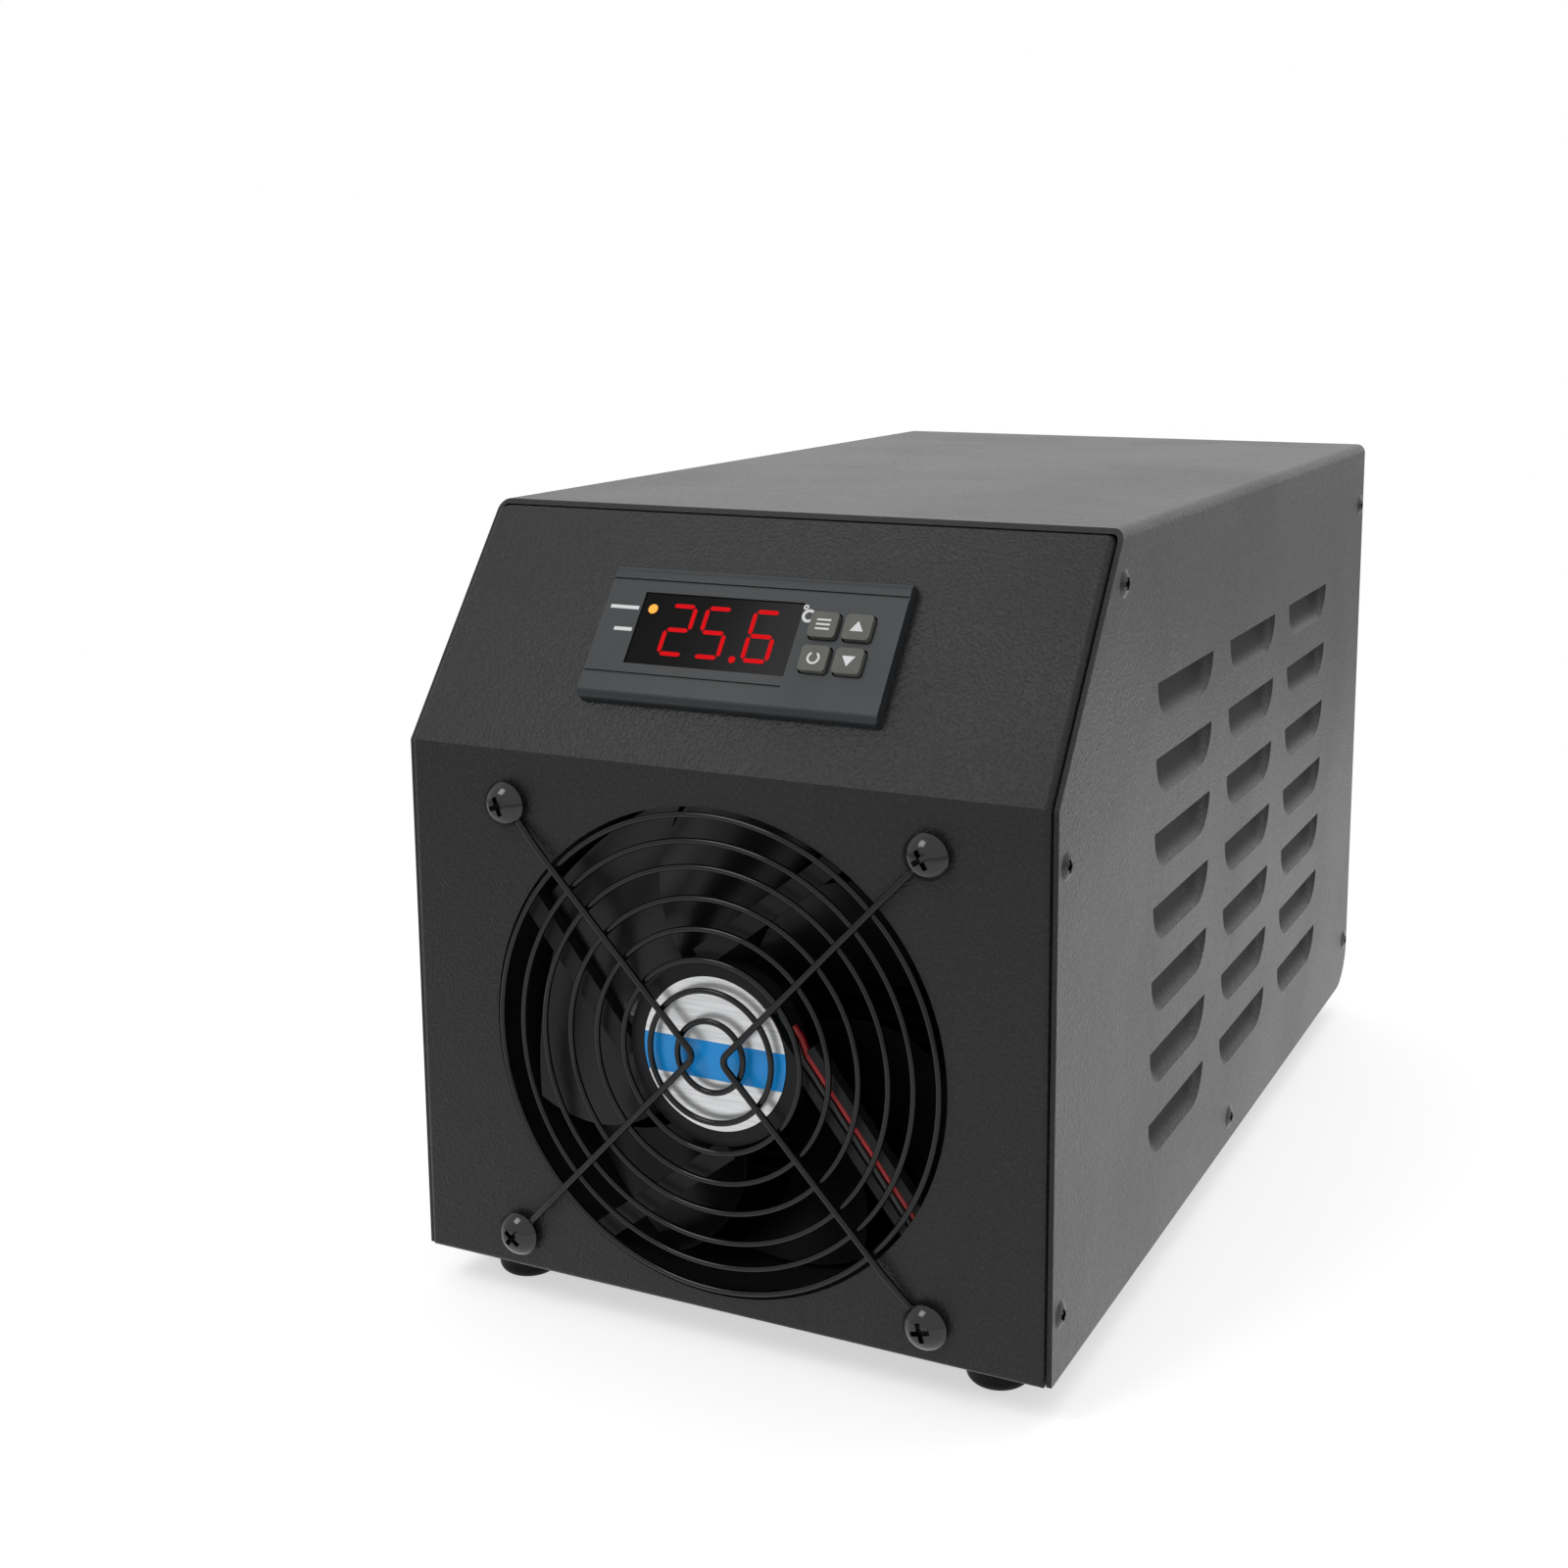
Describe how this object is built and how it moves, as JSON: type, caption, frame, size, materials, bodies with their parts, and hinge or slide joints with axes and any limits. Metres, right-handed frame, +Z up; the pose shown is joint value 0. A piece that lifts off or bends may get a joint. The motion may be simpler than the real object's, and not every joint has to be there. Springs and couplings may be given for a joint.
{
  "type": "aquarium chiller",
  "caption": "Black sheet-metal aquarium chiller: guarded front fan, thermostat on a sloping panel, louvred sides, rear hose spigots",
  "frame": {"origin": "middle of the overall box, on the floor under the feet", "axes": "+X right, +Y to the rear with the hose spigots, +Z up; the fan faces -Y"},
  "size_m": [0.1626, 0.3242, 0.189],
  "materials": {
    "cover_sheet": "fine-grained satin black powder coat",
    "panel_sheet": "fine-grained satin black powder coat",
    "black_screw": "black-coated steel",
    "dark_screw": "glossy dark brown-black coated steel",
    "zinc": "zinc-plated steel",
    "foot_rubber": "black moulded rubber",
    "fan_plastic": "black moulded plastic",
    "impeller_plastic": "black moulded plastic, slightly glossy",
    "steel": "ground steel",
    "magnet": "bonded ferrite",
    "bronze": "sintered bronze",
    "lamination": "stacked steel sheet",
    "copper": "enamelled copper wire",
    "board": "green circuit board",
    "silver_label": "silver film with a plain blue band",
    "red_lead": "red insulation",
    "black_lead": "black insulation",
    "brown_lead": "brown insulation",
    "guard_wire": "glossy black-coated wire",
    "bezel": "blue-grey moulded plastic",
    "window": "dark tinted window",
    "case_plastic": "black moulded plastic",
    "display": "black display block",
    "clip": "orange moulded plastic",
    "button": "grey silicone key",
    "terminal": "green terminal block",
    "aluminium": "extruded aluminium",
    "black_anodised": "black anodised extruded aluminium",
    "ceramic": "white alumina",
    "foam": "closed-cell black foam",
    "nylon": "natural nylon",
    "hose": "clear silicone hose",
    "spigot": "black nylon",
    "seal": "black rubber seal",
    "contact": "plated brass",
    "supply_sheet": "bare galvanised sheet",
    "components": "supply components"
  },
  "bodies": {
    "chiller": {"cover": "cover_sheet", "cover_screws": "black_screw", "front_panel": "panel_sheet", "rear_panel": "panel_sheet", "base_tray": "panel_sheet", "frame_screws": "black_screw", "feet": "foot_rubber", "foot_screws": "zinc", "fan_frame": "fan_plastic", "fan_bearings": "bronze", "fan_stator": "lamination", "fan_coils": "copper", "fan_board": "board", "fan_label": "silver_label", "fan_lead_red": "red_lead", "fan_lead_black": "black_lead", "fan_guard": "guard_wire", "guard_screws": "dark_screw", "thermostat_bezel": "bezel", "thermostat_window": "window", "thermostat_case": "case_plastic", "thermostat_board": "board", "thermostat_display": "display", "thermostat_switches": "display", "thermostat_terminals": "terminal", "thermostat_clips": "clip", "heat_sink": "black_anodised", "sink_brackets": "zinc", "bracket_screws": "zinc", "cooling_modules": "ceramic", "cold_block": "aluminium", "block_foam": "foam", "clamp_bar": "zinc", "clamp_screws": "zinc", "block_fittings": "nylon", "inner_hoses": "hose", "water_inlet": "spigot", "water_outlet": "spigot", "spigot_nuts": "spigot", "spigot_seals": "seal", "water_sensor": "steel", "mains_inlet": "case_plastic", "inlet_pins": "contact", "inlet_screws": "black_screw", "switch_housing": "case_plastic", "supply_case": "supply_sheet", "supply_board": "board", "supply_parts": "components", "supply_terminals": "case_plastic", "supply_screws": "black_screw", "mains_leads": "brown_lead", "power_leads": "red_lead"},
    "impeller": {"fan_impeller": "impeller_plastic", "fan_shaft": "steel", "fan_magnet": "magnet"},
    "set_button": {"button_set": "button"},
    "up_button": {"button_up": "button"},
    "reset_button": {"button_reset": "button"},
    "down_button": {"button_down": "button"},
    "mains_rocker": {"switch_rocker": "case_plastic"}
  },
  "joints": [
    {"name": "impeller_spin", "type": "hinge", "parent": "chiller", "child": "impeller", "pos_m": [0, -0.14117, 0.0715], "axis": [0, 1, 0], "continuous": true},
    {"name": "set_press", "type": "slide", "parent": "chiller", "child": "set_button", "axis": [0, 0.7982, -0.6024], "range_m": [0, 0.0005], "stiffness_N_per_m": 800},
    {"name": "up_press", "type": "slide", "parent": "chiller", "child": "up_button", "axis": [0, 0.7982, -0.6024], "range_m": [0, 0.0005], "stiffness_N_per_m": 800},
    {"name": "reset_press", "type": "slide", "parent": "chiller", "child": "reset_button", "axis": [0, 0.7982, -0.6024], "range_m": [0, 0.0005], "stiffness_N_per_m": 800},
    {"name": "down_press", "type": "slide", "parent": "chiller", "child": "down_button", "axis": [0, 0.7982, -0.6024], "range_m": [0, 0.0005], "stiffness_N_per_m": 800},
    {"name": "rocker_tilt", "type": "hinge", "parent": "chiller", "child": "mains_rocker", "pos_m": [0.052, 0.12983, 0.144], "axis": [1, 0, 0], "range_deg": [-20, 0]}
  ]
}
